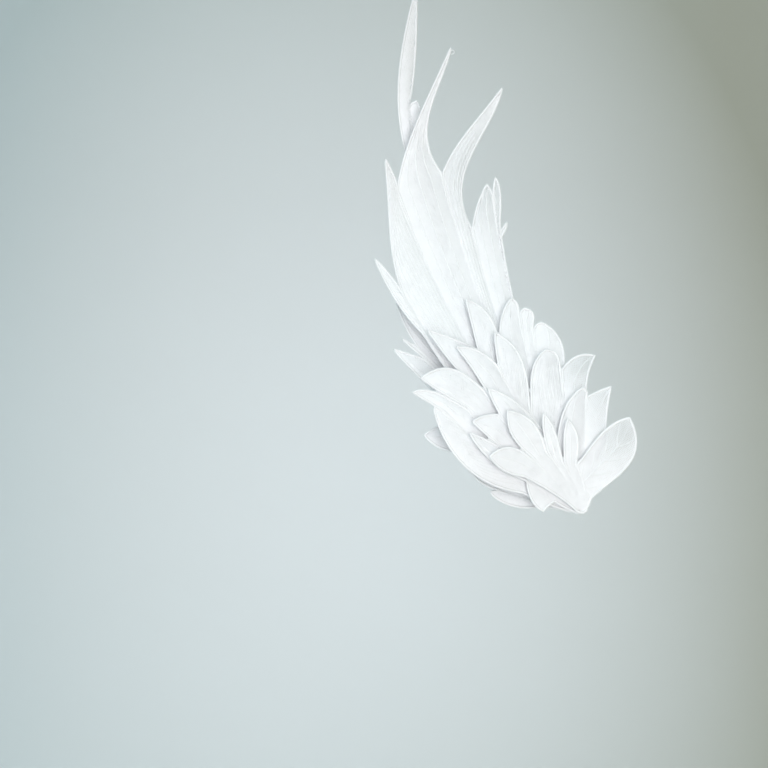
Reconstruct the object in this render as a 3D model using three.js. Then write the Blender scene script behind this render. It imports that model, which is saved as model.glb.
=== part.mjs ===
// One wing of a pair of angel wing hair clips: seven stacked panels of feathered lace on a plain clip.
// Millimetres, +Z up. +X runs towards the back of the head and +Y into the hair. The origin is in the
// slit of the clip, where the hair goes.

import * as THREE from 'three';
import { mergeVertices } from 'three/addons/utils/BufferGeometryUtils.js';

// Lace: wall, the stack of panels and the shape of a feather's section
const WALL = 1.0; // thickness of a panel
const PANEL_PITCH = 1.5; // step from one panel to the next at the root
const PANEL_FAN = 0.02; // growth of that step for each millimetre away from the root
const TIP_WIDTH = 1.4; // width of a feather's blunt tip
const CROWN_SHARE = 0.12; // height of a feather's crown for each millimetre of its half width
const CROWN_RATE = 0.012; // the most crown for each millimetre away from the root
const CROWN_MOST = 1.2; // the most crown anywhere

// Root: a short rounded end, square to a panel's fan, where every panel is gathered
const ROOT = { x: 27, z: -33.2, halfWidth: 2.6, depth: 1.6 };

// Bend of the whole wing: it follows the side of the head, leans back and curls forward at the top
const BASE_DEPTH = -3.8; // front of the rearmost panel at the clip
const SIDE_SLOPE = 0.44; // depth gained for each millimetre towards the back of the head
const LEAN = 0.76; // depth gained for each millimetre of height, well above the clip
const CURL = 1.55e-5; // forward curl, which grows with the cube of the height
const BEND = { z: 15, span: 40 }; // where the lean sets in, and how softly

// Clip: a flat strip folded back on itself
const CLIP = { length: 46, width: 9, strip: 1.2, slit: 1.4 };

// Size of the facets
const STRIPS = 4; // facets across a feather
const PALM_STEP = 16; // longest facet between the root and the notches
const BLADE_STEP = 9; // longest facet along a free feather
const TIP_STEPS = 2; // facets that every free feather has besides, so that a short one still curves
const CLIP_ARC_STEPS = 8; // facets round the fold of the clip
const NORMAL_STEP = 0.5; // reach of the slope that a normal is taken from
const WELD = 1e-3; // corners nearer than this are one

const LACE = { color: '#f3f5f4', roughness: 0.75, metalness: 0 };
const STEEL = { color: '#b9bcc0', roughness: 0.35, metalness: 1 };

// Each panel is a hand of feathers that fans clockwise from its first side, seen from the front. The lines
// from the root to its notches bow by a sweep, for each millimetre of their length.
// A feather is free from the notch before it to the notch after it. Its two edges swell by a belly,
// which lies nearer the tip where lean is positive, and lift bends its tip forward.
const COLUMNS = ['name', 'tipX', 'tipZ', 'bellyA', 'bellyB', 'lean', 'lift', 'notchX', 'notchZ'];
const PANELS = [
  {
    name: 'under_panel', layer: 0, sideX: 9, sideZ: -31, sweep: 0,
    feathers: [
      ['low leaf', -17, -24, 3.4, 0, 0, 0, -14, -23.2],
      ['hem leaf', -29.5, -9.5, 2, 0, -0.1, 0, -27, -5],
      ['hair leaf', -48, 3, 3, 0.5, 0.1, 0, -33, 12],
      ['brow leaf', -62, 43, 0, 0, 0.2, 1, -48, 39],
      ['brow thread', -58, 48, 0, 0, 0, 1, -51.5, 44.5],
      ['brow strip', -61, 65, 0.8, 0, 0, 0, 17, 29],
    ],
  },
  {
    name: 'rear_flight_panel', layer: 1, sideX: -52, sideZ: 128, sweep: 0.05,
    feathers: [
      ['tall feather', -52, 210, 7.8, 1.6, -0.2, 8, -55.3, 161],
      ['side lobe', -51.3, 163.7, 0.5, 1.6, 0.6, 0, -44, 126],
    ],
  },
  {
    name: 'flight_panel', layer: 2, sideX: -48, sideZ: 50, sweep: 0.04,
    feathers: [
      ['brow barb', -71, 86, 2.1, 1.1, -0.25, 0, -57, 67],
      ['brow feather', -65.9, 134.4, 2.2, 1, -1.1, 2, -61, 120],
      ['front feather', -35, 187, 2.4, -8, -0.65, 5, -38.5, 129.8],
      ['back feather', -9.2, 171.2, 1.4, -8.2, -0.95, 0, -24, 102],
      ['short feather', -16.2, 124.6, 1, 0.5, 0, 0, -13.2, 119.4],
      ['edge feather', -11.9, 128.2, 0.2, 1.3, 0.9, 0, -10, 102],
      ['edge barb', -6.5, 106, 0, 0.5, 0, 0, -9.4, 98.2],
    ],
  },
  {
    name: 'secondary_panel', layer: 3, sideX: -29, sideZ: 29, sweep: 0.05,
    feathers: [
      ['brow tip', -46, 52, 0.5, 0.5, 0, 1, -23, 44],
      ['middle tip', -27.5, 67, 0, 3.5, 0.2, 1, -12, 49.5],
      ['upper tip', -5, 68, 1.8, 1.2, 0.3, 1, -1.5, 61.5],
      ['round tip', 2.5, 63, 1, 1.8, 0.6, 1, 5, 53.5],
      ['outer tip', 9, 56.5, 0.8, 4.2, 0.1, 1, 20, 35],
    ],
  },
  {
    name: 'greater_covert_panel', layer: 4, sideX: -1.5, sideZ: -24.5, sweep: 0.03,
    feathers: [
      ['lower edge feather', -43.8, 16, 9.4, 0, -0.05, 0, -40, 14.5],
      ['hair feather', -53.5, 23.1, 0, 2.5, 0.7, 0, -28, 15.5],
      ['big feather', -49.5, 29.5, 0.5, 6.8, 0.3, 0, -19.5, 24],
      ['slit feather', -32.5, 44, -0.5, 2.6, 0.2, 0.5, -13, 36],
      ['broad feather', -14, 51, 0.3, 6, 0.5, 0.5, 2.5, 13],
      ['round feather', 10.5, 43, 3.6, 3, 0.6, 1, 18, 34],
      ['outer feather', 35, 40.5, 3, -1.5, 0.2, 1.5, 30, 20],
    ],
  },
  {
    name: 'lesser_covert_panel', layer: 5, sideX: 14, sideZ: -28.8, sweep: 0.02,
    feathers: [
      ['hanging lobe', 7.9, -32.9, -0.3, 2, 0.2, 0, -0.5, -18.5],
      ['first quill', -27, 4, 3, 0.5, 0, 0.5, -11.5, -3.5],
      ['second quill', -25.5, 9.5, 0.3, 1, 0.2, 0.5, -13, 13],
      ['middle feather', -18, 24.5, 0.3, 4, 0.3, 0.5, 14.5, -5],
      ['rear feather', 28.5, 25, 4, 1, 0.3, 1, 30, 21],
      ['rear tip', 42, 25.5, 0.3, -1, 0.2, 2, 39, 0],
    ],
  },
  {
    name: 'shoulder_panel', layer: 6, sideX: -1.9, sideZ: -16.7, sweep: -0.03,
    feathers: [
      ['arched lobe', -17.6, -6.7, 2.2, 4, 0.1, 1, 1.4, -6.9],
      ['front leaf', -9, 14, 3.2, 4.7, 0.2, 1.5, 10, -5],
      ['round leaf', 8.5, 12.5, 1, 1.5, 0.6, 1, 18, -10.5],
      ['small leaf', 20, 10, 1, 3, 0.3, 1, 24.5, -11],
      ['sheer leaf', 50.5, 10.5, 3, 9, 0.6, 3, 31.5, -28],
    ],
  },
];

const plan = (x, z) => new THREE.Vector2(x, z);
const leftOf = (along) => plan(-along.y, along.x).normalize();

/** Depth that the lean and the curl give the wing at a height. */
function rise(z) {
  const above = z - BEND.z;
  const reach = (above + Math.hypot(above, BEND.span)) / 2;
  return LEAN * reach - CURL * reach ** 3;
}

/** Distance of a point of the plan from the middle of the root. */
function fromRoot(point) {
  return Math.hypot(point.x - ROOT.x, point.y - ROOT.z);
}

/** Depth of the front of an uncrowned panel at a point of the plan. */
function panelDepth(layer, point) {
  const stack = layer * (PANEL_PITCH + PANEL_FAN * fromRoot(point));
  return BASE_DEPTH + SIDE_SLOPE * point.x + rise(point.y) - rise(0) - stack;
}

/** Unit normal of a panel at a point of the plan, towards the hair. */
function panelNormal(layer, point) {
  const slope = (dx, dz) =>
    (panelDepth(layer, plan(point.x + dx, point.y + dz)) - panelDepth(layer, plan(point.x - dx, point.y - dz)))
    / (2 * NORMAL_STEP);
  return new THREE.Vector3(-slope(NORMAL_STEP, 0), 1, -slope(0, NORMAL_STEP)).normalize();
}

/** A straight run from one point of the plan to another, swelling to its left by the belly. */
function swollenRun(start, end, belly, lean) {
  const left = leftOf(end.clone().sub(start));
  return (t) => {
    const swell = belly * 4 * t * (1 - t) * (1 + lean * (2 * t - 1));
    return start.clone().lerp(end, t).addScaledVector(left, swell);
  };
}

/** The rounded root of a panel between two sides, from the first side at 0 to the last at 1. */
function rootRun(firstSide, lastSide) {
  const middle = plan(ROOT.x, ROOT.z);
  const along = [firstSide, lastSide].map((side) => side.clone().sub(middle).normalize());
  const left = leftOf(along[0].add(along[1])).multiplyScalar(ROOT.halfWidth);
  return swollenRun(middle.clone().add(left), middle.clone().sub(left), -ROOT.depth, 0);
}

/** The rows of a panel as feathers: each has its two edges, in the palm and along the free blade. */
function feathersOf(panel) {
  const rows = panel.feathers.map((row) => Object.fromEntries(row.map((value, i) => [COLUMNS[i], value])));
  const notches = [plan(panel.sideX, panel.sideZ), ...rows.map((row) => plan(row.notchX, row.notchZ))];
  const root = rootRun(notches[0], notches.at(-1));
  const rays = notches.map((notch, i) => {
    const start = root(i / rows.length);
    return swollenRun(start, notch, panel.sweep * start.distanceTo(notch), 0);
  });
  return rows.map((row, i) => {
    const tip = plan(row.tipX, row.tipZ);
    const middle = notches[i].clone().lerp(notches[i + 1], 0.5);
    const halfTip = leftOf(tip.clone().sub(middle)).multiplyScalar(TIP_WIDTH / 2);
    return {
      lift: row.lift,
      length: tip.distanceTo(middle),
      palm: [rays[i], rays[i + 1]],
      blade: [
        swollenRun(notches[i], tip.clone().add(halfTip), row.bellyA, row.lean),
        swollenRun(notches[i + 1], tip.clone().sub(halfTip), -row.bellyB, row.lean),
      ],
      rayLength: Math.max(...[notches[i], notches[i + 1]].map(fromRoot)),
    };
  });
}

/** Front and back of a feather at a station of its palm or blade; across runs from -1 to 1. */
function wallAt(panel, feather, part, t, across) {
  const [first, last] = feather[part].map((edge) => edge(t));
  const point = first.clone().lerp(last, (across + 1) / 2);
  const halfWidth = first.distanceTo(last) / 2;
  const crown = Math.min(CROWN_SHARE * halfWidth, CROWN_RATE * fromRoot(point), CROWN_MOST);
  const lift = part === 'blade' ? feather.lift * t * t : 0;
  const depth = panelDepth(panel.layer, point) - crown * (1 - across * across) - lift;
  const front = new THREE.Vector3(point.x, depth, point.y);
  return { front, back: front.clone().addScaledVector(panelNormal(panel.layer, point), WALL) };
}

/** A closed solid from four-cornered faces, welded along their shared edges. */
function weldedSolid(quads) {
  const corners = quads.flatMap(([a, b, c, d]) => [a, b, c, a, c, d]);
  const soup = new THREE.BufferGeometry().setFromPoints(corners);
  const solid = mergeVertices(soup, WELD);
  solid.computeVertexNormals();
  return solid;
}

/** The wall of one lace panel: front, back and a rim round every feather and the root. */
function panelGeometry(panel) {
  const feathers = feathersOf(panel);
  const palmSteps = Math.ceil(Math.max(...feathers.map((feather) => feather.rayLength)) / PALM_STEP);
  const quads = [];
  const rim = (a, b) => quads.push([a.front, b.front, b.back, a.back]);
  feathers.forEach((feather, i) => {
    const bladeSteps = Math.ceil(feather.length / BLADE_STEP) + TIP_STEPS;
    const station = (part, t) =>
      Array.from({ length: STRIPS + 1 }, (_, j) => wallAt(panel, feather, part, t, (2 * j) / STRIPS - 1));
    const palm = Array.from({ length: palmSteps + 1 }, (_, s) => station('palm', s / palmSteps));
    const blade = Array.from({ length: bladeSteps }, (_, s) => station('blade', (s + 1) / bladeSteps));
    const stations = [...palm, ...blade];
    for (let s = 0; s + 1 < stations.length; s += 1) {
      const [low, high] = [stations[s], stations[s + 1]];
      for (let j = 0; j < STRIPS; j += 1) {
        quads.push([low[j].front, low[j + 1].front, high[j + 1].front, high[j].front]);
        quads.push([low[j].back, high[j].back, high[j + 1].back, low[j + 1].back]);
      }
      const free = s >= palmSteps;
      if (free || i === 0) rim(low[0], high[0]);
      if (free || i === feathers.length - 1) rim(high[STRIPS], low[STRIPS]);
    }
    const tip = stations.at(-1);
    for (let j = 0; j < STRIPS; j += 1) {
      rim(stations[0][j + 1], stations[0][j]);
      rim(tip[j], tip[j + 1]);
    }
  });
  return weldedSolid(quads);
}

/** The clip: a strip folded into two jaws with a thin slit between them, as long as the slit is straight. */
function clipGeometry() {
  const inner = CLIP.slit / 2;
  const outer = inner + CLIP.strip;
  const mouth = -CLIP.length / 2;
  const fold = CLIP.length / 2 - outer;
  const side = new THREE.Shape();
  side.moveTo(mouth, -outer);
  side.lineTo(fold, -outer);
  side.absarc(fold, 0, outer, -Math.PI / 2, Math.PI / 2, false);
  side.lineTo(mouth, outer);
  side.lineTo(mouth, inner);
  side.lineTo(fold, inner);
  side.absarc(fold, 0, inner, Math.PI / 2, -Math.PI / 2, true);
  side.lineTo(mouth, -inner);
  side.closePath();
  const strip = new THREE.ExtrudeGeometry(side, {
    depth: CLIP.width, bevelEnabled: false, curveSegments: CLIP_ARC_STEPS,
  });
  return strip.translate(0, 0, -CLIP.width / 2);
}

/** The turn that lays the clip flat against the lace behind it, with its slit along the head. */
function clipTurn() {
  const normal = panelNormal(0, plan(0, 0));
  const along = new THREE.Vector3(1, SIDE_SLOPE, 0).normalize();
  const up = new THREE.Vector3().crossVectors(along, normal);
  return new THREE.Quaternion().setFromRotationMatrix(new THREE.Matrix4().makeBasis(along, normal, up));
}

/** A named piece with its own material. */
function piece(name, geometry, finish) {
  const mesh = new THREE.Mesh(geometry, new THREE.MeshStandardMaterial(finish));
  mesh.name = name;
  return mesh;
}

const wing = new THREE.Group();
for (const panel of PANELS) wing.add(piece(panel.name, panelGeometry(panel), LACE));
const clip = piece('hair_clip', clipGeometry(), STEEL);
clip.quaternion.copy(clipTurn());
wing.add(clip);

export default wing;
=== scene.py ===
"""Dresses one angel wing hair clip: seven stacked panels of stitched lace net on a plain steel clip.

Every panel is a net of flat threads with satin-stitched cords on it. Both follow the fan of feathers of the
solid panel that they stand for. Sizes of the lace are in millimetres, and the pieces are in metres.
"""

import logging
import math
from dataclasses import dataclass, field, fields
from enum import Enum
from typing import Any, Callable, Iterator, Mapping, Sequence

import bpy
import numpy as np
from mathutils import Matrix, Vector

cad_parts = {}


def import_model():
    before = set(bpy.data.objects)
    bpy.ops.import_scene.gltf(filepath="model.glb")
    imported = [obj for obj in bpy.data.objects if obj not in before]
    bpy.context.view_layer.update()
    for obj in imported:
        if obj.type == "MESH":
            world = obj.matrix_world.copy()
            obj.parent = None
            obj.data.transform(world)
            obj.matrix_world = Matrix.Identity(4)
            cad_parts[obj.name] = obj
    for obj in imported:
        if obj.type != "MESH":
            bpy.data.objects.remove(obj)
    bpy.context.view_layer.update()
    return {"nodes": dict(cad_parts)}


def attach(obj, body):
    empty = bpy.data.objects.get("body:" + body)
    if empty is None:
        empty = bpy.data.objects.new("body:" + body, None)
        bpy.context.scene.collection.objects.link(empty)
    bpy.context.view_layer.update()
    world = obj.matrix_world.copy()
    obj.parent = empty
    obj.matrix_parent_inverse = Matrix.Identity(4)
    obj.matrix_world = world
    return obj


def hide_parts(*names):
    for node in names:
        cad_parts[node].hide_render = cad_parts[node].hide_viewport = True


LOG = logging.getLogger("wing")
MM = 0.001  # a millimetre in metres
MIDDLE = 0.5  # mean of a noise
TINY = 1e-6  # a length below this counts as none
LEAST_POINTS = 4  # fewest points of a line
Colour = tuple[float, float, float, float]
Place = tuple[float, float, float]
Plan = tuple[float, float]
Run = Callable[[np.ndarray], np.ndarray]


def operators(operation: str) -> tuple[Callable[..., "Wire"], Callable[..., "Wire"]]:
    """An arithmetic operator of a wire and its reflected form, which add a Math node."""
    return (lambda wire, other: wire.math(operation, wire, other),
            lambda wire, other: wire.math(operation, other, wire))


class Wire:
    """An output socket of a node; arithmetic on it adds Math nodes."""

    __add__, __radd__ = operators("ADD")
    __sub__, __rsub__ = operators("SUBTRACT")
    __mul__, __rmul__ = operators("MULTIPLY")
    __truediv__, __rtruediv__ = operators("DIVIDE")
    __gt__, __lt__ = operators("GREATER_THAN")

    def __init__(self, graph: "Graph", socket: bpy.types.NodeSocket) -> None:
        """Holds the socket and the graph that its Math nodes go into."""
        self.graph = graph
        self.socket = socket

    def math(self, operation: str, *values: Any) -> "Wire":
        """Adds one Math node and returns its result."""
        return self.graph.add("ShaderNodeMath", {"operation": operation}, dict(enumerate(values)))[0]

    def absolute(self) -> "Wire":
        """Size of the value without its sign."""
        return self.math("ABSOLUTE", self)

    def floor(self) -> "Wire":
        """The whole number at or below the value."""
        return self.math("FLOOR", self)

    def sine(self) -> "Wire":
        """Sine of the value in radians."""
        return self.math("SINE", self)

    def clamped(self) -> "Wire":
        """The value, kept from 0 to 1."""
        return self.math("MINIMUM", self.math("MAXIMUM", self, 0.0), 1.0)


class Made:
    """A node that has been added; its outputs are read by name or by number."""

    def __init__(self, graph: "Graph", node: bpy.types.Node) -> None:
        """Holds the node and its graph."""
        self.graph = graph
        self.node = node

    def __getitem__(self, key: int | str) -> Wire:
        """The output of that number or name, as a wire."""
        if isinstance(key, int):
            return Wire(self.graph, self.node.outputs[key])
        return Wire(self.graph, next(s for s in self.node.outputs if s.name == key and s.enabled))


class Graph:
    """A node tree of any kind, built one node at a time."""

    def __init__(self, tree: bpy.types.NodeTree) -> None:
        """Holds the tree."""
        self.tree = tree

    def add(self, kind: str, settings: Mapping[str, Any] | None = None,
            inputs: Mapping[int | str, Any] | None = None) -> Made:
        """Adds a node.

        Args:
            kind: Blender's type name of the node.
            settings: Properties of the node, set first.
            inputs: Values, wires or lists of wires for its sockets, by name or number.

        Returns:
            The node, ready for its outputs to be read.
        """
        node = self.tree.nodes.new(kind)
        for name, value in (settings or {}).items():
            setattr(node, name, value)
        for key, value in (inputs or {}).items():
            for item in value if isinstance(value, list) else [value]:
                self.fill(self._input(node, key), item)
        return Made(self, node)

    def fill(self, socket: bpy.types.NodeSocket, value: Any) -> None:
        """Links a wire to a socket, or sets the socket to a value."""
        if isinstance(value, Wire):
            self.tree.links.new(value.socket, socket)
        else:
            socket.default_value = value

    @staticmethod
    def _input(node: bpy.types.Node, key: int | str) -> bpy.types.NodeSocket:
        """The input socket of that number, or the one in use that has that name."""
        if isinstance(key, int):
            return node.inputs[key]
        return next(s for s in node.inputs if s.name == key and s.enabled)


class SurfaceGraph(Graph):
    """The node tree of a new material, with one surface shader."""

    noise_roughness = 0.6

    def __init__(self, name: str) -> None:
        """Starts a material with a shader of its own and nothing else."""
        self.material = bpy.data.materials.new(name)
        self.material.use_nodes = True
        super().__init__(self.material.node_tree)
        self.tree.nodes.clear()
        self.shader = self.add("ShaderNodeBsdfPrincipled")
        self.add("ShaderNodeOutputMaterial", inputs={"Surface": self.shader["BSDF"]})

    def set(self, **values: Any) -> None:
        """Sets or links sockets of the shader; an underscore stands for a space in a socket's name."""
        for name, value in values.items():
            self.fill(self.shader.node.inputs[name.replace("_", " ")], value)

    def place(self, scale: Place = (1, 1, 1)) -> Wire:
        """Place on the piece, in metres times the scale."""
        here = self.add("ShaderNodeTexCoord")["Object"]
        return self.add("ShaderNodeMapping", {"vector_type": "POINT"}, {"Vector": here, "Scale": scale})[0]

    def noise(self, place: Wire, scale: float, detail: float = 3.0) -> Wire:
        """Soft noise from 0 to 1."""
        return self.add("ShaderNodeTexNoise", {"noise_dimensions": "3D"}, {
            "Vector": place, "Scale": scale, "Detail": detail, "Roughness": self.noise_roughness,
        })[0]

    def blend(self, share: Wire, low: Any, high: Any) -> Wire:
        """Colour between two others."""
        return self.add("ShaderNodeMix", {"data_type": "RGBA"},
                        {"Factor": share, "A": low, "B": high})["Result"]

    def bump(self, height: Wire, distance: float, strength: float) -> Wire:
        """Normal of a surface with that relief."""
        return self.add("ShaderNodeBump", None,
                        {"Height": height, "Distance": distance, "Strength": strength})[0]


@dataclass(frozen=True)
class ThreadFinish:
    """White stitching thread: slightly silky, uneven in tone, with the turns of the stitches across it."""

    name: str
    shade: Colour
    light: Colour
    roughness: float
    sheen: float
    turn_pitch: float
    turn_height: float
    cloud_scale: float = 160.0
    cloud_share: float = 1.6
    grain_scale: float = 2600.0
    grain_detail: float = 2.0
    grain_share: float = 0.9
    middle_tone: float = 0.55
    turn_relief: float = 0.5
    grain_relief: float = 0.6
    relief_strength: float = 0.7
    grain_roughness: float = 0.2
    sheen_roughness: float = 0.4
    shine: float = 0.35

    def material(self) -> bpy.types.Material:
        """Builds the material."""
        graph = SurfaceGraph(self.name)
        here = graph.place()
        cloud = graph.noise(here, self.cloud_scale)
        grain = graph.noise(here, self.grain_scale, self.grain_detail)
        tone = (cloud - MIDDLE) * self.cloud_share + (grain - MIDDLE) * self.grain_share + self.middle_tone
        along = graph.add("ShaderNodeAttribute", {"attribute_name": "along"})["Fac"]
        turns = (along * (2 * math.pi / self.turn_pitch)).sine()
        relief = turns * self.turn_relief + grain * self.grain_relief
        graph.set(
            Base_Color=graph.blend(tone, self.shade, self.light),
            Roughness=self.roughness + (grain - MIDDLE) * self.grain_roughness,
            Normal=graph.bump(relief, self.turn_height, self.relief_strength),
            Sheen_Weight=self.sheen,
            Sheen_Roughness=self.sheen_roughness,
            Specular_IOR_Level=self.shine,
        )
        return graph.material


@dataclass(frozen=True)
class SteelFinish:
    """Brushed spring steel."""

    name: str
    dark: Colour
    bright: Colour
    brush_scale: Place = (60.0, 60.0, 2600.0)
    brush_detail: float = 4.0
    brush_share: float = 0.6
    brush_depth: float = 0.00002
    brush_strength: float = 0.5
    brush_roughness: float = 0.16
    wear_scale: float = 220.0
    wear_share: float = 0.4
    wear_roughness: float = 0.12
    roughness: float = 0.24

    def material(self) -> bpy.types.Material:
        """Builds the material, with its brush lines along the strip."""
        graph = SurfaceGraph(self.name)
        lines = graph.noise(graph.place(self.brush_scale), 1.0, self.brush_detail)
        wear = graph.noise(graph.place(), self.wear_scale)
        tone = lines * self.brush_share + wear * self.wear_share
        graph.set(
            Base_Color=graph.blend(tone, self.dark, self.bright),
            Metallic=1.0,
            Roughness=self.roughness + lines * self.brush_roughness + wear * self.wear_roughness,
            Normal=graph.bump(lines, self.brush_depth, self.brush_strength),
        )
        return graph.material


@dataclass(frozen=True)
class PaperFinish:
    """Matt background paper with painted light: painted palest behind the wing, with painted shade that
    darkens it towards the rim and is warmer towards one side.
    """

    name: str
    pale: Colour
    cool: Colour
    warm: Colour
    middle: tuple[float, float] = (-0.11, -0.03)
    reach: tuple[float, float] = (0.66, 0.9)
    cloud_scale: float = 1.3
    cloud_share: float = 0.1
    warm_slope: float = 0.6
    warm_share: float = 0.5
    roughness: float = 0.9
    rim_roughness: float = 0.05

    def material(self) -> bpy.types.Material:
        """Builds the material."""
        graph = SurfaceGraph(self.name)
        here = graph.place()
        axes = graph.add("ShaderNodeSeparateXYZ", None, {0: here})
        side = (axes["X"] - self.middle[0]) / self.reach[0]
        up = (axes["Z"] - self.middle[1]) / self.reach[1]
        cloud = (graph.noise(here, self.cloud_scale) - MIDDLE) * self.cloud_share
        # Painted light and shade: the colour is palest near the middle and blends further out into a darker
        # painted-shade rim, cool on one side and warm on the other.
        painted_falloff = side * side + up * up + cloud
        painted_shade_rim = graph.blend(side * self.warm_slope + self.warm_share, self.cool, self.warm)
        graph.set(
            Base_Color=graph.blend(painted_falloff, self.pale, painted_shade_rim),
            Roughness=self.roughness + painted_falloff * self.rim_roughness,
        )
        return graph.material


CORD_FINISH = ThreadFinish(
    "satin_cord", shade=(0.77, 0.78, 0.79, 1), light=(0.83, 0.84, 0.85, 1),
    roughness=0.55, sheen=0.25, turn_pitch=0.00042, turn_height=0.00006,
)
NET_FINISH = ThreadFinish(
    "net_thread", shade=(0.79, 0.80, 0.815, 1), light=(0.85, 0.86, 0.875, 1),
    roughness=0.7, sheen=0.15, turn_pitch=0.0009, turn_height=0.00001,
)
CLIP_FINISH = SteelFinish("brushed_steel", dark=(0.42, 0.43, 0.45, 1), bright=(0.74, 0.75, 0.77, 1))
# Painted light on the paper: pale where the backdrop is painted as most lit, with cool and warm painted
# shade at its rim.
PAPER_FINISH = PaperFinish(
    "background_paper", pale=(0.915, 0.9, 0.92, 1),
    cool=(0.55, 0.605, 0.62, 1), warm=(0.43, 0.415, 0.35, 1),
)


class Veins(Enum):
    """How a feather is stitched inside its edge."""

    RIBS = "ribs"
    STRIPES = "stripes"
    PICOT = "picot"
    BRANCHES = "branches"
    QUILL = "quill"
    BARE = "bare"


@dataclass(frozen=True)
class Row:
    """One feather of a panel, free between the notch before it and its own.

    Its edges swell by the bellies, nearer the tip where lean is positive, and lift bends the tip forward.
    """

    name: str
    tip: Plan
    bellies: tuple[float, float]
    lean: float
    lift: float
    notch: Plan
    veins: Veins


@dataclass(frozen=True)
class NetSizes:
    """The threads of a panel's net, in millimetres and degrees.

    They are wider in some patches than in others, and thinnest at the thin place.
    """

    pitch: float = 0.8
    width: float = 0.68
    thickness: float = 0.07
    step: float = 1.3
    turn: float = 0.0
    crossing: float = 72.0
    wander: float = 0.9
    patch: float = 5.0
    patchiness: float = 0.7
    thin_place: Plan = (0.0, 0.0)
    thin_reach: float = 1.0
    thin_share: float = 0.0


@dataclass(frozen=True)
class RingSizes:
    """A ring of thread beside a feather's tip: its middle and reach, along the feather and across it."""

    points: int = 25
    station: float = 1.975
    station_reach: float = 0.016
    across: float = 1.7
    across_reach: float = 1.1


@dataclass(frozen=True)
class BranchSizes:
    """Short veins that leave a quill in pairs; their spread is a share of the feather's half width."""

    pairs: int = 5
    points: int = 10
    first: float = 0.62
    room: float = 0.24
    length: float = 0.26
    spread: float = 0.72
    bow: float = 0.9
    taper: float = 0.4


@dataclass(frozen=True)
class CordSizes:
    """The cords of a panel: how thick each kind is, where it starts and tapers, and the room for ribs.

    Thicknesses, rooms and the step are in millimetres. Starts and ends are stations of a feather, and a
    taper is the share of its thickness that a cord gains for each station.
    """

    edge: float = 1.3
    edge_start: float = 0.88
    edge_taper: float = 8.0
    ray: float = 0.9
    ray_start: float = 0.62
    ray_taper: float = 4.0
    end_share: float = 0.3
    root_start: float = 0.02
    quill: float = 0.6
    quill_start: float = 0.7
    quill_end: float = 1.86
    quill_fade: float = 1.9
    quill_taper: float = 3.0
    quill_end_share: float = 0.4
    rib: float = 0.65
    rib_room: float = 6.0
    stripe: float = 0.4
    stripe_room: float = 3.0
    least_room: float = 2.2
    step: float = 1.5
    flatness: float = 0.72
    ring: RingSizes = RingSizes()
    branches: BranchSizes = BranchSizes()


@dataclass(frozen=True)
class WingForm:
    """The curved stack that all panels follow, in millimetres."""

    wall: float = 1.0
    pitch: float = 1.5
    fan: float = 0.02
    tip_width: float = 1.4
    crown_share: float = 0.12
    crown_rate: float = 0.012
    crown_most: float = 1.2
    root: Plan = (27.0, -33.2)
    root_half: float = 2.6
    root_depth: float = 1.6
    base: float = -3.8
    side_slope: float = 0.44
    rake: float = 0.76
    curl: float = 1.55e-5
    bend_height: float = 15.0
    bend_span: float = 40.0
    slope_step: float = 0.5

    def rise(self, height: np.ndarray) -> np.ndarray:
        """Depth that the lean and the curl give at a height."""
        above = height - self.bend_height
        reach = (above + np.hypot(above, self.bend_span)) / 2
        return self.rake * reach - self.curl * reach**3

    def from_root(self, plan: np.ndarray) -> np.ndarray:
        """Distance of points of the plan from the middle of the root."""
        return np.hypot(plan[..., 0] - self.root[0], plan[..., 1] - self.root[1])

    def depth(self, layer: int, plan: np.ndarray) -> np.ndarray:
        """Depth of the front of an uncrowned panel at points of the plan."""
        stack = layer * (self.pitch + self.fan * self.from_root(plan))
        bend = self.rise(plan[..., 1]) - self.rise(np.zeros(1))
        return self.base + self.side_slope * plan[..., 0] + bend - stack

    def normal(self, layer: int, plan: np.ndarray) -> np.ndarray:
        """Unit normals of a panel at points of the plan, towards its back."""
        reach = self.slope_step
        slopes = [
            (self.depth(layer, plan + move) - self.depth(layer, plan - move)) / (2 * reach)
            for move in (np.array([reach, 0.0]), np.array([0.0, reach]))
        ]
        across = np.stack([-slopes[0], np.ones_like(slopes[0]), -slopes[1]], -1)
        return across / np.linalg.norm(across, axis=-1, keepdims=True)


def left_of(along: np.ndarray) -> np.ndarray:
    """Unit vector of the plan to the left of a direction."""
    return np.array([-along[1], along[0]]) / np.hypot(*along)


def swollen_run(start: np.ndarray, end: np.ndarray, belly: float, lean: float) -> Run:
    """A run from one point of the plan to another that swells to its left.

    Args:
        start: Where it begins.
        end: Where it ends.
        belly: The most that it swells.
        lean: Positive where the swell lies nearer the end.

    Returns:
        A function from shares of the run to points.
    """
    left = left_of(end - start)

    def point(t: np.ndarray) -> np.ndarray:
        """Points at shares of the run."""
        swell = belly * 4 * t * (1 - t) * (1 + lean * (2 * t - 1))
        return start + (end - start) * t[..., None] + left * swell[..., None]

    return point


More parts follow.
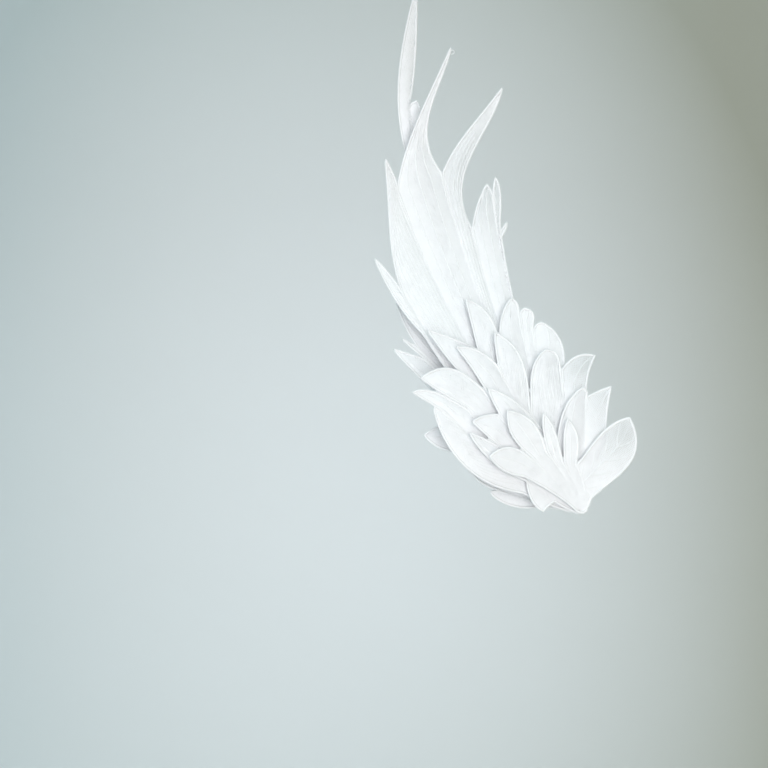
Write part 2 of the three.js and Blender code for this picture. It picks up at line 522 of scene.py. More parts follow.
@dataclass
class Feather:
    """One feather of a panel: the runs of its two edges, in the palm and along the free blade.

    Stations along it go from 0 at the root, through 1 at the notches, to 2 at the tip.
    """

    broad_stations = np.linspace(0.3, 1.8, 40)

    form: WingForm
    layer: int
    row: Row
    palm: tuple[Run, Run]
    blade: tuple[Run, Run]
    length: float
    palm_length: float

    def half_width(self, t: np.ndarray) -> np.ndarray:
        """Half width at stations."""
        first, last = self.edges_at(t)
        return np.linalg.norm(first - last, axis=-1) / 2

    def widest(self) -> float:
        """The most half width between the root and the tip."""
        return float(self.half_width(self.broad_stations).max())

    def edges_at(self, t: np.ndarray) -> tuple[np.ndarray, np.ndarray]:
        """Points of the two edges at stations."""
        low, high = np.clip(t, 0, 1), np.clip(t - 1, 0, 1)
        free = (t > 1)[..., None]
        first, last = (np.where(free, blade(high), palm(low)) for palm, blade in zip(self.palm, self.blade))
        return first, last

    def place(self, t: np.ndarray, across: np.ndarray) -> tuple[np.ndarray, np.ndarray]:
        """Points in the middle of the wall.

        Args:
            t: Stations.
            across: From -1 at the first edge to 1 at the last.

        Returns:
            The points in metres, and the unit normals there, towards the front.
        """
        form = self.form
        first, last = self.edges_at(t)
        plan = first + (last - first) * ((across + 1) / 2)[..., None]
        most = np.minimum(form.crown_rate * form.from_root(plan), form.crown_most)
        crown = np.minimum(form.crown_share * self.half_width(t), most)
        lift = self.row.lift * np.clip(t - 1, 0, 1) ** 2
        depth = form.depth(self.layer, plan) - crown * (1 - across**2) - lift
        normal = form.normal(self.layer, plan)
        front = np.stack([plan[..., 0], depth, plan[..., 1]], -1)
        return (front + normal * (form.wall / 2)) * MM, -normal

    def stations(self, start: float, end: float, step: float) -> np.ndarray:
        """Stations between two others, about a step apart along the feather."""
        in_palm = max(0.0, min(end, 1) - start) * self.palm_length
        in_blade = max(0.0, end - max(start, 1)) * self.length
        return np.linspace(start, end, max(LEAST_POINTS, math.ceil((in_palm + in_blade) / step) + 1))


@dataclass(frozen=True)
class Path:
    """A line that a cord follows, with its thickness at each point."""

    points: np.ndarray
    normals: np.ndarray
    thick: np.ndarray

    @classmethod
    def joined(cls, paths: Sequence["Path"]) -> "Path":
        """One line through the points of others, in their order."""
        return cls(*(np.concatenate([getattr(path, part.name) for path in paths]) for part in fields(cls)))


def placed(name: str, data: bpy.types.ID) -> bpy.types.Object:
    """Adds an object to the scene."""
    made = bpy.data.objects.new(name, data)
    bpy.context.collection.objects.link(made)
    return made


class PlainMesh:
    """Meshes made from arrays."""

    @staticmethod
    def piece(name: str, points: np.ndarray, edges: Sequence[Any],
              faces: Sequence[Any]) -> bpy.types.Object:
        """Adds an object with a mesh of points, edges and faces."""
        mesh = bpy.data.meshes.new(name)
        mesh.from_pydata([tuple(p) for p in points], list(edges), list(faces))
        mesh.update()
        return placed(name, mesh)

    @staticmethod
    def discard(made: bpy.types.Object) -> None:
        """Removes an object that was only a guide."""
        mesh = made.data
        bpy.data.objects.remove(made)
        bpy.data.meshes.remove(mesh)

    @staticmethod
    def bake_map(mesh: bpy.types.Mesh) -> None:
        """Gives a mesh a flat map, as seen from the front."""
        points = np.empty(len(mesh.vertices) * 3, np.float32)
        mesh.vertices.foreach_get("co", points)
        plan = points.reshape(-1, 3)[:, [0, 2]]
        low, span = plan.min(0), (plan.max(0) - plan.min(0)).max()
        corners = np.empty(len(mesh.loops), np.int32)
        mesh.loops.foreach_get("vertex_index", corners)
        flat = mesh.uv_layers.new(name="OFBake")
        flat.uv.foreach_set("vector", ((plan[corners] - low) / span).astype(np.float32).ravel())


class GeometryTool:
    """A geometry node tree with named inputs, which turns a guide into a plain mesh."""

    title = "tool"
    sockets: Mapping[str, str] = {}
    rounded = True
    corners = 8

    def __init__(self) -> None:
        """Builds the tree."""
        tree = bpy.data.node_groups.new(self.title, "GeometryNodeTree")
        tree.interface.new_socket("Geometry", in_out="INPUT", socket_type="NodeSocketGeometry")
        self.names = {
            name: tree.interface.new_socket(name, in_out="INPUT", socket_type=kind).identifier
            for name, kind in {**self.sockets, "Finish": "NodeSocketMaterial"}.items()
        }
        tree.interface.new_socket("Geometry", in_out="OUTPUT", socket_type="NodeSocketGeometry")
        self.graph = Graph(tree)
        given = self.graph.add("NodeGroupInput")
        shape = self.shape(given)
        smooth = self.graph.add("GeometryNodeSetShadeSmooth", None,
                                {"Geometry": shape, "Shade Smooth": self.rounded})[0]
        whole = self.graph.add("GeometryNodeRealizeInstances", None, {"Geometry": smooth})[0]
        done = self.graph.add("GeometryNodeSetMaterial", None,
                              {"Geometry": whole, "Material": given["Finish"]})[0]
        self.graph.add("NodeGroupOutput", None, {0: done})

    def shape(self, given: Made) -> Wire:
        """Adds the nodes that make the shape, and returns it."""
        raise NotImplementedError

    def make(self, name: str, guide: bpy.types.Object, values: Mapping[str, Any]) -> bpy.types.Object:
        """Runs the tree on a guide.

        Args:
            name: Name of the new piece.
            guide: Object that the tree starts from; it is discarded.
            values: Value of each named input.

        Returns:
            The new piece, a plain mesh.
        """
        modifier = guide.modifiers.new(self.title, "NODES")
        modifier.node_group = self.graph.tree
        for key, value in values.items():
            modifier[self.names[key]] = value
        shown = guide.evaluated_get(bpy.context.evaluated_depsgraph_get())
        mesh = bpy.data.meshes.new_from_object(shown)
        guide.modifiers.remove(modifier)
        PlainMesh.discard(guide)
        mesh.name = name
        PlainMesh.bake_map(mesh)
        return placed(name, mesh)

    def flat_profile(self, width: Wire | float, thickness: Wire | float) -> Wire:
        """A closed profile, wide across a cord and thin through it."""
        ring = self.graph.add("GeometryNodeCurvePrimitiveCircle", None,
                              {"Resolution": self.corners, "Radius": 1.0})[0]
        size = self.graph.add("ShaderNodeCombineXYZ", None, {0: thickness, 1: width, 2: 1.0})[0]
        return self.graph.add("GeometryNodeTransform", None, {"Geometry": ring, "Scale": size})[0]

    def facing(self, curve: Wire) -> Wire:
        """Turns a curve's flat side to the front of the lace."""
        face = self.graph.add("GeometryNodeInputNamedAttribute", {"data_type": "FLOAT_VECTOR"},
                              {"Name": "face"})["Attribute"]
        return self.graph.add("GeometryNodeSetCurveNormal", {"mode": "FREE"},
                              {"Curve": curve, "Normal": face})[0]


class NetTool(GeometryTool):
    """Two families of flat threads laid on a sheet."""

    title = "lace net"
    rounded = False
    corners = 4
    drift_share = 0.7
    cast_gap = 0.02
    cast_length = 1.0
    spare = 0.004
    sockets = {
        "Sheet": "NodeSocketObject",
        **dict.fromkeys(("Pitch", "Width", "Thickness", "Step", "Turn", "Crossing", "Wander", "Patch",
                         "Patchiness", "Thin reach", "Thin share", "Span"), "NodeSocketFloat"),
        **dict.fromkeys(("Thin place", "Centre"), "NodeSocketVector"),
    }

    def shape(self, given: Made) -> Wire:
        """Adds the two families, one a little in front of the other."""
        sheet = self.graph.add("GeometryNodeObjectInfo", {"transform_space": "ORIGINAL"},
                               {"Object": given["Sheet"]})["Geometry"]
        profile = self.flat_profile(given["Width"] * 0.5, given["Thickness"] * 0.5)
        families = [self._family(given, sheet, profile, side) for side in (-0.5, 0.5)]
        return self.graph.add("GeometryNodeJoinGeometry", None, {0: families})[0]

    def _family(self, given: Made, sheet: Wire, profile: Wire, side: float) -> Wire:
        """One family of threads, turned by its side's share of the crossing and set in front or behind."""
        lines = self._laid(given, self._lines(given, side), sheet, side)
        curve = self.facing(self.graph.add("GeometryNodeMeshToCurve", None, {"Mesh": lines})[0])
        return self.graph.add("GeometryNodeCurveToMesh", None, {
            "Curve": curve, "Profile Curve": profile, "Scale": self._swell(given), "Fill Caps": True,
        })[0]

    def _lines(self, given: Made, side: float) -> Wire:
        """Lines a pitch apart on a plane in front of the sheet, which wander a little."""
        add = self.graph.add
        span = given["Span"]
        lines = add("GeometryNodeMeshGrid", None, {
            "Size X": span, "Size Y": span,
            "Vertices X": (span / given["Pitch"]).floor() + 1,
            "Vertices Y": (span / given["Step"]).floor() + 1,
        })["Mesh"]
        ends = add("GeometryNodeInputMeshEdgeVertices")
        run = add("ShaderNodeVectorMath", {"operation": "SUBTRACT"},
                  {0: ends["Position 1"], 1: ends["Position 2"]})[0]
        sideways = add("ShaderNodeSeparateXYZ", None, {0: run})["X"].absolute() > TINY
        lines = add("GeometryNodeDeleteGeometry", {"domain": "EDGE"},
                    {"Geometry": lines, "Selection": sideways})[0]
        turn = given["Turn"] + given["Crossing"] * side
        upright = add("ShaderNodeCombineXYZ", None, {0: math.pi / 2, 1: turn, 2: 0.0})[0]
        lines = add("GeometryNodeTransform", None,
                    {"Geometry": lines, "Translation": given["Centre"], "Rotation": upright})[0]
        noise = add("ShaderNodeTexNoise", {"noise_dimensions": "3D"},
                    {"Scale": self.drift_share / given["Step"], "Detail": 0.0})["Color"]
        drift = add("ShaderNodeVectorMath", {"operation": "SUBTRACT"}, {0: noise, 1: (MIDDLE,) * 3})[0]
        drift = add("ShaderNodeVectorMath", {"operation": "SCALE"}, {0: drift, "Scale": given["Wander"]})[0]
        return add("GeometryNodeSetPosition", None, {"Geometry": lines, "Offset": drift})[0]

    def _laid(self, given: Made, lines: Wire, sheet: Wire, side: float) -> Wire:
        """The lines cast onto the sheet, without the points that miss it."""
        add = self.graph.add
        cast = add("GeometryNodeRaycast", {"data_type": "FLOAT"}, {
            "Target Geometry": sheet, "Ray Direction": (0.0, 1.0, 0.0), "Ray Length": self.cast_length,
        })
        lines = add("GeometryNodeDeleteGeometry", {"domain": "POINT"},
                    {"Geometry": lines, "Selection": 1 - cast["Is Hit"]})[0]
        lines = add("GeometryNodeStoreNamedAttribute", {"data_type": "FLOAT_VECTOR", "domain": "POINT"},
                    {"Geometry": lines, "Name": "face", "Value": cast["Hit Normal"]})[0]
        proud = add("ShaderNodeVectorMath", {"operation": "SCALE"},
                    {0: cast["Hit Normal"], "Scale": given["Thickness"] * side})[0]
        return add("GeometryNodeSetPosition", None,
                   {"Geometry": lines, "Position": cast["Hit Position"], "Offset": proud})[0]

    def _swell(self, given: Made) -> Wire:
        """Share of their width that the threads have from place to place."""
        add = self.graph.add
        cloud = add("ShaderNodeTexNoise", {"noise_dimensions": "3D"},
                    {"Scale": 1 / given["Patch"], "Detail": 1.0})[0]
        here = add("GeometryNodeInputPosition")[0]
        far = add("ShaderNodeVectorMath", {"operation": "DISTANCE"},
                  {0: here, 1: given["Thin place"]})["Value"]
        thin = (1 - far / given["Thin reach"]).clamped() * given["Thin share"]
        return (1 + (cloud - MIDDLE) * given["Patchiness"]) * (1 - thin)


class CordTool(GeometryTool):
    """Stitched cords along the lines of a guide, which gives their thickness and the way they face."""

    title = "stitched cords"
    sockets = {"Flatness": "NodeSocketFloat"}

    def shape(self, given: Made) -> Wire:
        """Adds the cords."""
        add = self.graph.add
        curve = self.facing(add("GeometryNodeMeshToCurve", None, {"Mesh": given["Geometry"]})[0])
        along = add("GeometryNodeSplineParameter")["Length"]
        curve = add("GeometryNodeStoreNamedAttribute", {"data_type": "FLOAT", "domain": "POINT"},
                    {"Geometry": curve, "Name": "along", "Value": along})[0]
        thick = add("GeometryNodeInputNamedAttribute", {"data_type": "FLOAT"},
                    {"Name": "thick"})["Attribute"]
        profile = self.flat_profile(0.5, given["Flatness"] * 0.5)
        return add("GeometryNodeCurveToMesh", None, {
            "Curve": curve, "Profile Curve": profile, "Scale": thick, "Fill Caps": True,
        })[0]


@dataclass
class LacePanel:
    """One panel of the wing: a hand of feathers cut from one net, with cords stitched on."""

    form: WingForm
    name: str
    layer: int
    side: Plan
    sweep: float
    flat: tuple[float, float]
    rows: Sequence[Row]
    net: NetSizes = field(default_factory=NetSizes)
    cords: CordSizes = field(default_factory=CordSizes)
    sheet_step: float = 2.5
    sheet_strips: int = 12

    def __post_init__(self) -> None:
        """Lays out the feathers."""
        notches = [np.array(self.side), *(np.array(row.notch) for row in self.rows)]
        root = self._root_run(notches[0], notches[-1])
        self.rays = []
        self.ray_lengths = []
        for i, notch in enumerate(notches):
            start = root(np.array(i / len(self.rows)))
            length = float(np.hypot(*(notch - start)))
            self.rays.append(swollen_run(start, notch, self.sweep * length, 0.0))
            self.ray_lengths.append(length)
        self.feathers = [self._feather(row, i, notches) for i, row in enumerate(self.rows)]

    def _root_run(self, first: np.ndarray, last: np.ndarray) -> Run:
        """The rounded root, from the first side to the last."""
        middle = np.array(self.form.root)
        along = sum((side - middle) / np.hypot(*(side - middle)) for side in (first, last))
        left = left_of(along) * self.form.root_half
        return swollen_run(middle + left, middle - left, -self.form.root_depth, 0.0)

    def _feather(self, row: Row, i: int, notches: Sequence[np.ndarray]) -> Feather:
        """The feather of one row."""
        tip = np.array(row.tip)
        middle = (notches[i] + notches[i + 1]) / 2
        half = left_of(tip - middle) * self.form.tip_width / 2
        blade = (
            swollen_run(notches[i], tip + half, row.bellies[0], row.lean),
            swollen_run(notches[i + 1], tip - half, -row.bellies[1], row.lean),
        )
        return Feather(
            self.form, self.layer, row, (self.rays[i], self.rays[i + 1]), blade,
            float(np.hypot(*(tip - middle))), max(self.ray_lengths[i], self.ray_lengths[i + 1]),
        )

    def sheet(self) -> bpy.types.Object:
        """The middle of the panel's wall as one smooth sheet, which guides the net."""
        points: list[np.ndarray] = []
        faces: list[tuple[int, ...]] = []
        across = np.linspace(-1, 1, self.sheet_strips + 1)
        for feather in self.feathers:
            stations = np.concatenate([
                feather.stations(0, 1, self.sheet_step), feather.stations(1, 2, self.sheet_step)[1:],
            ])
            first = sum(len(p) for p in points)
            grid, _ = feather.place(*np.meshgrid(stations, across, indexing="ij"))
            points.append(grid.reshape(-1, 3))
            row = len(across)
            for s in range(len(stations) - 1):
                for j in range(self.sheet_strips):
                    corner = first + s * row + j
                    faces.append((corner, corner + 1, corner + row + 1, corner + row))
        return PlainMesh.piece(f"{self.name}_sheet", np.concatenate(points), [], faces)

    def paths(self) -> Iterator[Path]:
        """All lines of stitching on the panel."""
        yield self._root_cord()
        for i in range(len(self.rays)):
            yield self._ray(i)
        for feather in self.feathers:
            yield self._edge(feather)
            yield from self._veins(feather)

    def _line(self, feather: Feather, t: np.ndarray, across: np.ndarray,
              thick: np.ndarray | float) -> Path:
        """A line on a feather, at stations and places across it."""
        points, normals = feather.place(t, across)
        return Path(points, normals, np.broadcast_to(np.asarray(thick, float) * MM, t.shape))

    def _inset(self, feather: Feather, t: np.ndarray, room: float) -> np.ndarray:
        """Place across a feather that keeps a room from its edge."""
        return np.maximum(0.0, 1 - room / np.maximum(feather.half_width(t), TINY))

    def _root_cord(self) -> Path:
        """The cord round the root, which joins the cords of the two sides."""
        start = np.full(1, self.cords.root_start)
        return Path.joined([
            self._line(feather, start, np.zeros(1), self.cords.edge) for feather in self.feathers
        ])

    def _ray(self, i: int) -> Path:
        """The cord from the root to a notch; at the two sides of the panel it is an edge."""
        sizes = self.cords
        outer = i in (0, len(self.rays) - 1)
        last = i == len(self.feathers)
        feather = self.feathers[i - 1 if last else i]
        t = feather.stations(sizes.root_start if outer else sizes.ray_start, 1, sizes.step)
        across = self._inset(feather, t, sizes.edge / 2 if outer else 0.0) * (1 if last else -1)
        if outer:
            return self._line(feather, t, across, sizes.edge)
        taper = np.clip((t - sizes.ray_start) * sizes.ray_taper, sizes.end_share, 1)
        return self._line(feather, t, across, sizes.ray * taper)

    def _edge(self, feather: Feather) -> Path:
        """The cord round a free feather, from notch to tip and back."""
        sizes = self.cords
        t = feather.stations(sizes.edge_start, 2, sizes.step)
        across = self._inset(feather, t, sizes.edge / 2)
        thick = sizes.edge * np.clip(sizes.end_share + (t - sizes.edge_start) * sizes.edge_taper, 0, 1)
        there = self._line(feather, t, -across, thick)
        back = self._line(feather, t[-2::-1], across[-2::-1], thick[-2::-1])
        return Path.joined([there, back])

    def _veins(self, feather: Feather) -> Iterator[Path]:
        """The stitching inside a feather's edge."""
        sizes = self.cords
        style = feather.row.veins
        if style in (Veins.RIBS, Veins.PICOT):
            yield from self._ribs(feather, sizes.rib_room, sizes.rib)
        if style is Veins.STRIPES:
            yield from self._ribs(feather, sizes.stripe_room, sizes.stripe)
        if style is Veins.PICOT:
            yield self._picot(feather)
        if style in (Veins.QUILL, Veins.BRANCHES):
            yield self._quill(feather)
        if style is Veins.BRANCHES:
            yield from self._branches(feather)

    def _ribs(self, feather: Feather, room: float, thick: float) -> Iterator[Path]:
        """Lengthwise ribs, a room apart where the feather is widest, as far as there is room for them."""
        count = max(1, round(2 * feather.widest() / room) - 1)
        t = feather.stations(0, 2, self.cords.step)
        clear = np.flatnonzero(2 * feather.half_width(t) / (count + 1) > self.cords.least_room)
        t = t[clear[0]:clear[-1] + 1] if clear.size else t[:0]
        if len(t) >= LEAST_POINTS:
            for k in range(count):
                across = 2 * (k + 1) / (count + 1) - 1
                yield self._line(feather, t, np.full_like(t, across), thick)

    def _quill(self, feather: Feather) -> Path:
        """The quill along the middle of a feather, thinner at both ends."""
        sizes = self.cords
        t = feather.stations(sizes.quill_start, sizes.quill_end, sizes.step)
        taper = np.minimum(sizes.quill_fade - t, t - sizes.quill_start) * sizes.quill_taper
        thick = sizes.quill * np.clip(taper, sizes.quill_end_share, 1)
        return self._line(feather, t, np.zeros_like(t), thick)

    def _picot(self, feather: Feather) -> Path:
        """A small ring of thread beside a feather's tip."""
        ring = self.cords.ring
        turn = np.linspace(0, 2 * math.pi, ring.points)
        t = ring.station - ring.station_reach * np.cos(turn)
        return self._line(feather, t, ring.across + ring.across_reach * np.sin(turn), self.cords.stripe)

    def _branches(self, feather: Feather) -> Iterator[Path]:
        """Short veins that leave the quill on both sides."""
        sizes = self.cords.branches
        reach = np.linspace(0, 1, sizes.points)
        thick = self.cords.rib * (1 - sizes.taper * reach)
        for k in range(sizes.pairs):
            t = sizes.first + sizes.room * k + sizes.length * reach
            for side in (-1, 1):
                yield self._line(feather, t, side * sizes.spread * reach**sizes.bow, thick)

    def _thin_place(self) -> Place:
        """Middle of the place where the net is most open, in metres."""
        plan = np.array(self.net.thin_place)
        return tuple(float(v) * MM for v in (plan[0], self.form.depth(self.layer, plan)[0], plan[1]))

    def guide(self) -> bpy.types.Object:
        """The lines of stitching as one wire, with the thickness and the facing of each point."""
        paths = list(self.paths())
        whole = Path.joined(paths)
        edges, first = [], 0
        for path in paths:
            edges += [(first + k, first + k + 1) for k in range(len(path.points) - 1)]
            first += len(path.points)
        wire = PlainMesh.piece(f"{self.name}_guide", whole.points, edges, [])
        thick = wire.data.attributes.new("thick", "FLOAT", "POINT")
        thick.data.foreach_set("value", whole.thick.astype(np.float32))
        face = wire.data.attributes.new("face", "FLOAT_VECTOR", "POINT")
        face.data.foreach_set("vector", whole.normals.astype(np.float32).ravel())
        return wire

    def _lay_net(self, tool: NetTool, finish: bpy.types.Material,
                 sheet: bpy.types.Object) -> bpy.types.Object:
        """Lays the net on the panel's sheet."""
        corners = np.array([corner[:] for corner in sheet.bound_box])
        low, high = corners.min(0), corners.max(0)
        middle = (low + high) / 2
        seed = PlainMesh.piece(f"{self.name}_seed", np.zeros((1, 3)), [], [])
        lengths = ("pitch", "width", "thickness", "step", "wander", "patch", "thin_reach")
        return tool.make(f"{self.name}_net", seed, {
            **{key.capitalize().replace("_", " "): getattr(self.net, key) * MM for key in lengths},
            "Sheet": sheet,
            "Turn": math.radians(self.net.turn),
            "Crossing": math.radians(self.net.crossing),
            "Patchiness": self.net.patchiness,
            "Thin place": self._thin_place(),
            "Thin share": self.net.thin_share,
            "Span": float(np.hypot(high[0] - low[0], high[2] - low[2])) + tool.spare,
            "Centre": (float(middle[0]), float(low[1]) - tool.cast_gap, float(middle[2])),
            "Finish": finish,
        })

    def build(self, net_tool: NetTool, cord_tool: CordTool, net_finish: bpy.types.Material,
              cord_finish: bpy.types.Material, rests_on: str) -> None:
        """Args:
            net_tool: Tree that lays the net.
            cord_tool: Tree that makes the cords.
            net_finish: Material of the net.
            cord_finish: Material of the cords.
            rests_on: Name of the piece behind this panel; not used.
        """
        sheet = self.sheet()
        area = sum(face.area for face in sheet.data.polygons)
        net = self._lay_net(net_tool, net_finish, sheet)
        PlainMesh.discard(sheet)
        cords = cord_tool.make(f"{self.name}_cords", self.guide(),
                               {"Flatness": self.cords.flatness, "Finish": cord_finish})
        for piece in (net, cords):
            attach(piece, "root")
            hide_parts(self.name)
        LOG.info("%s: %s", self.name, ", ".join(row.name for row in self.rows))
        LOG.info("%s: net %d faces, cords %d faces, cloth %.6f m2", self.name, len(net.data.polygons),
                 len(cords.data.polygons), area)


def wing_panels(form: WingForm) -> list[LacePanel]:
    """The seven panels, from the clip to the front."""
    quill, ribs, stripes, bare = Veins.QUILL, Veins.RIBS, Veins.STRIPES, Veins.BARE
    dense = NetSizes(
        pitch=0.74, width=0.64, turn=-24.0, thin_place=(-19, 131), thin_reach=42.0, thin_share=0.9,
    )
    # A row's columns are name, tip, bellies, lean, lift, notch and veins, as in Row.
    return [
        LacePanel(form, "under_panel", layer=0, side=(9, -31), sweep=0.0, flat=(0.105, 0.12), rows=[
            Row("low leaf", (-17, -24), (3.4, 0), 0, 0, (-14, -23.2), bare),
            Row("hem leaf", (-29.5, -9.5), (2, 0), -0.1, 0, (-27, -5), bare),
            Row("hair leaf", (-48, 3), (3, 0.5), 0.1, 0, (-33, 12), quill),
            Row("brow leaf", (-62, 43), (0, 0), 0.2, 1, (-48, 39), quill),
            Row("brow thread", (-58, 48), (0, 0), 0, 1, (-51.5, 44.5), bare),
            Row("brow strip", (-61, 65), (0.8, 0), 0, 0, (17, 29), ribs),
        ], net=NetSizes(turn=-50.0)),
        LacePanel(form, "rear_flight_panel", layer=1, side=(-52, 128), sweep=0.05,
                  flat=(0.025, 0.265), rows=[
            Row("tall feather", (-52, 210), (7.8, 1.6), -0.2, 8, (-55.3, 161), bare),
            Row("side lobe", (-51.3, 163.7), (0.5, 1.6), 0.6, 0, (-44, 126), bare),
        ], net=dense),
        LacePanel(form, "flight_panel", layer=2, side=(-48, 50), sweep=0.04, flat=(0.1025, 0.222), rows=[
            Row("brow barb", (-71, 86), (2.1, 1.1), -0.25, 0, (-57, 67), ribs),
            Row("brow feather", (-65.9, 134.4), (2.2, 1), -1.1, 2, (-61, 120), ribs),
            Row("front feather", (-35, 187), (2.4, -8), -0.65, 5, (-38.5, 129.8), Veins.PICOT),
            Row("back feather", (-9.2, 171.2), (1.4, -8.2), -0.95, 0, (-24, 102), ribs),
            Row("short feather", (-16.2, 124.6), (1, 0.5), 0, 0, (-13.2, 119.4), ribs),
            Row("edge feather", (-11.9, 128.2), (0.2, 1.3), 0.9, 0, (-10, 102), bare),
            Row("edge barb", (-6.5, 106), (0, 0.5), 0, 0, (-9.4, 98.2), bare),
        ], net=dense),
        LacePanel(form, "secondary_panel", layer=3, side=(-29, 29), sweep=0.05, flat=(0.075, 0.11), rows=[
            Row("brow tip", (-46, 52), (0.5, 0.5), 0, 1, (-23, 44), stripes),
            Row("middle tip", (-27.5, 67), (0, 3.5), 0.2, 1, (-12, 49.5), stripes),
            Row("upper tip", (-5, 68), (1.8, 1.2), 0.3, 1, (-1.5, 61.5), quill),
            Row("round tip", (2.5, 63), (1, 1.8), 0.6, 1, (5, 53.5), quill),
            Row("outer tip", (9, 56.5), (0.8, 4.2), 0.1, 1, (20, 35), quill),
        ], net=NetSizes(turn=-18.0)),
        LacePanel(form, "greater_covert_panel", layer=4, side=(-1.5, -24.5), sweep=0.03,
                  flat=(0.095, 0.09), rows=[
            Row("lower edge feather", (-43.8, 16), (9.4, 0), -0.05, 0, (-40, 14.5), stripes),
            Row("hair feather", (-53.5, 23.1), (0, 2.5), 0.7, 0, (-28, 15.5), quill),
            Row("big feather", (-49.5, 29.5), (0.5, 6.8), 0.3, 0, (-19.5, 24), stripes),
            Row("slit feather", (-32.5, 44), (-0.5, 2.6), 0.2, 0.5, (-13, 36), quill),
            Row("broad feather", (-14, 51), (0.3, 6), 0.5, 0.5, (2.5, 13), stripes),
            Row("round feather", (10.5, 43), (3.6, 3), 0.6, 1, (18, 34), stripes),
            Row("outer feather", (35, 40.5), (3, -1.5), 0.2, 1.5, (30, 20), quill),
        ], net=NetSizes(turn=-40.0, thin_place=(31, 36), thin_reach=26.0, thin_share=0.85)),
        LacePanel(form, "lesser_covert_panel", layer=5, side=(14, -28.8), sweep=0.02,
                  flat=(0.075, 0.065), rows=[
            Row("hanging lobe", (7.9, -32.9), (-0.3, 2), 0.2, 0, (-0.5, -18.5), bare),
            Row("first quill", (-27, 4), (3, 0.5), 0, 0.5, (-11.5, -3.5), quill),
            Row("second quill", (-25.5, 9.5), (0.3, 1), 0.2, 0.5, (-13, 13), quill),
            Row("middle feather", (-18, 24.5), (0.3, 4), 0.3, 0.5, (14.5, -5), quill),
            Row("rear feather", (28.5, 25), (4, 1), 0.3, 1, (30, 21), quill),
            Row("rear tip", (42, 25.5), (0.3, -1), 0.2, 2, (39, 0), quill),
        ], net=NetSizes(turn=-8.0, thin_place=(38, 20), thin_reach=22.0, thin_share=0.65)),
        LacePanel(form, "shoulder_panel", layer=6, side=(-1.9, -16.7), sweep=-0.03,
                  flat=(0.075, 0.055), rows=[
            Row("arched lobe", (-17.6, -6.7), (2.2, 4), 0.1, 1, (1.4, -6.9), quill),
            Row("front leaf", (-9, 14), (3.2, 4.7), 0.2, 1.5, (10, -5), quill),
            Row("round leaf", (8.5, 12.5), (1, 1.5), 0.6, 1, (18, -10.5), quill),
            Row("small leaf", (20, 10), (1, 3), 0.3, 1, (24.5, -11), quill),
            Row("sheer leaf", (50.5, 10.5), (3, 9), 0.6, 3, (31.5, -28), Veins.BRANCHES),
        ], net=NetSizes(turn=20.0, thin_place=(46, 3), thin_reach=26.0, thin_share=0.8)),
    ]


@dataclass
class HairClip:
    """The flat clip behind the wing, which keeps its solid."""

    node: bpy.types.Object

    def dress(self, finish: SteelFinish) -> None:
        """Gives the clip its finish."""
        self.node.data.materials.clear()
        self.node.data.materials.append(finish.material())
        LOG.info("%s: %s", self.node.name, finish.name)


@dataclass(frozen=True)
class Lamp:
    """A square light, in metres and watts."""

    name: str
    place: Place
    size: float
    power: float
    colour: tuple[float, float, float]

    def shine(self, aim: Place) -> None:
        """Adds the light, turned to its aim."""
        lamp = bpy.data.lights.new(self.name, "AREA")
        lamp.size, lamp.energy, lamp.color = self.size, self.power, self.colour
        made = placed(self.name, lamp)
        made.location = self.place
        made.rotation_euler = (Vector(aim) - Vector(self.place)).to_track_quat("-Z", "Y").to_euler()


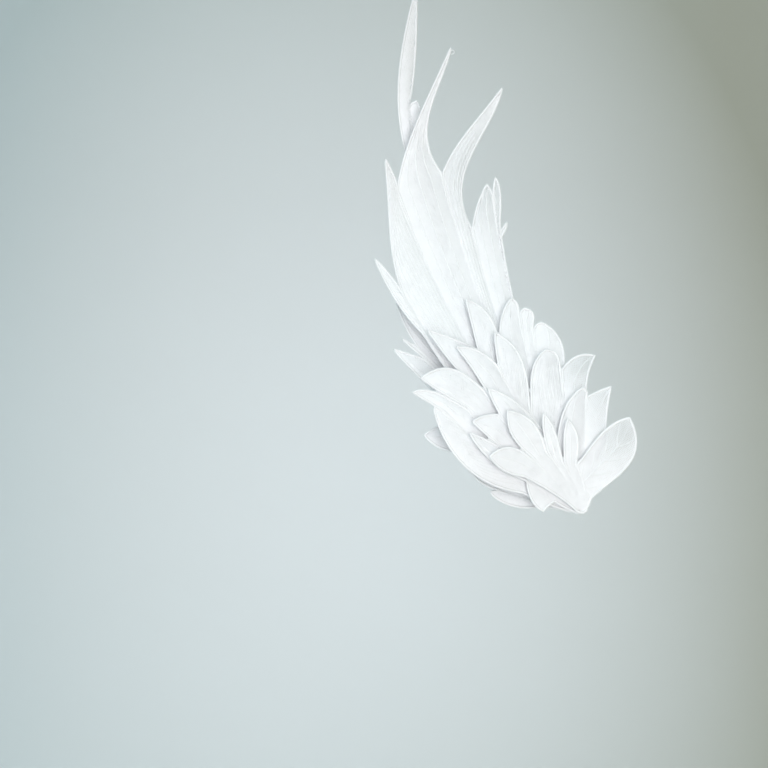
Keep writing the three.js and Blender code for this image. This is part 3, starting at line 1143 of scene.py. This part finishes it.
@dataclass
class Studio:
    """A round cove of paper, the lights and the camera, in metres; lens and sensor are in millimetres."""

    floor: float = -0.6
    radius: float = 2.2
    sweep: float = 0.9
    height: float = 2.2
    sides: int = 96
    arc_steps: int = 12
    lamps: Sequence[Lamp] = (
        Lamp("key_light", (0.45, -1.5, 0.2), size=1.3, power=8.15, colour=(1.0, 0.925, 0.945)),
        Lamp("fill_light", (-0.4, -1.55, 0.12), size=1.2, power=8.75, colour=(1.0, 0.93, 0.96)),
        Lamp("low_light", (0.4, -0.95, -0.25), size=0.6, power=2.5, colour=(0.95, 0.98, 1.0)),
        Lamp("top_light", (-0.3, 0.5, 1.7), size=1.4, power=4.5, colour=(0.99, 0.99, 1.0)),
    )
    aim: Place = (-0.005, 0.0, 0.08)
    sky_colour: Colour = (0.82, 0.975, 1.0, 1)
    sky_strength: float = 1.29
    eye: Place = (-0.0671, -1.016, 0.0267)
    lens: float = 100.0
    sensor: float = 36.0
    sight: tuple[float, float] = (0.05, 20.0)

    def build(self, finish: PaperFinish) -> None:
        """Adds the cove, the lights and the camera."""
        self._cove(finish)
        for lamp in self.lamps:
            lamp.shine(self.aim)
        self._sky()
        self._camera()

    def _cove(self, finish: PaperFinish) -> None:
        """A floor that curves up into a round wall, open at the top."""
        bend = self.radius - self.sweep
        arc = [
            (bend + self.sweep * math.sin(a), self.floor + self.sweep * (1 - math.cos(a)))
            for a in np.linspace(0, math.pi / 2, self.arc_steps + 1)
        ]
        profile = [(bend / 2, self.floor), *arc, (self.radius, self.height)]
        points = [(0.0, 0.0, self.floor)]
        points += [
            (r * math.cos(a), r * math.sin(a), z)
            for r, z in profile for a in np.linspace(0, 2 * math.pi, self.sides, endpoint=False)
        ]
        faces: list[tuple[int, ...]] = []
        for j in range(self.sides):
            k = (j + 1) % self.sides
            faces.append((0, 1 + j, 1 + k))
            for ring in range(len(profile) - 1):
                low, high = 1 + ring * self.sides, 1 + (ring + 1) * self.sides
                faces.append((low + j, high + j, high + k, low + k))
        cove = PlainMesh.piece("paper_cove", np.array(points), [], faces)
        cove.data.shade_smooth()
        cove.data.materials.append(finish.material())

    def _sky(self) -> None:
        """Soft light from all round."""
        world = bpy.data.worlds.new("studio_sky")
        world.use_nodes = True
        back = world.node_tree.nodes["Background"]
        back.inputs["Color"].default_value = self.sky_colour
        back.inputs["Strength"].default_value = self.sky_strength
        bpy.context.scene.world = world

    def _camera(self) -> None:
        """The camera, level and straight ahead."""
        lens = bpy.data.cameras.new("camera")
        lens.lens, lens.sensor_width = self.lens, self.sensor
        lens.clip_start, lens.clip_end = self.sight
        made = placed("camera", lens)
        made.location = self.eye
        made.rotation_euler = (math.pi / 2, 0.0, 0.0)
        bpy.context.scene.camera = made


def main() -> None:
    """Builds the wing and its studio in order."""
    logging.basicConfig(level=logging.INFO, format="%(name)s: %(message)s")
    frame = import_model()
    bpy.context.scene.view_settings.view_transform = "Standard"
    Studio().build(PAPER_FINISH)
    net_tool, cord_tool = NetTool(), CordTool()
    net_finish, cord_finish = NET_FINISH.material(), CORD_FINISH.material()
    behind = "hair_clip"
    for panel in wing_panels(WingForm()):
        panel.build(net_tool, cord_tool, net_finish, cord_finish, behind)
        behind = f"{panel.name}_net"
    HairClip(frame["nodes"]["hair_clip"]).dress(CLIP_FINISH)


if __name__ == "__main__":
    main()
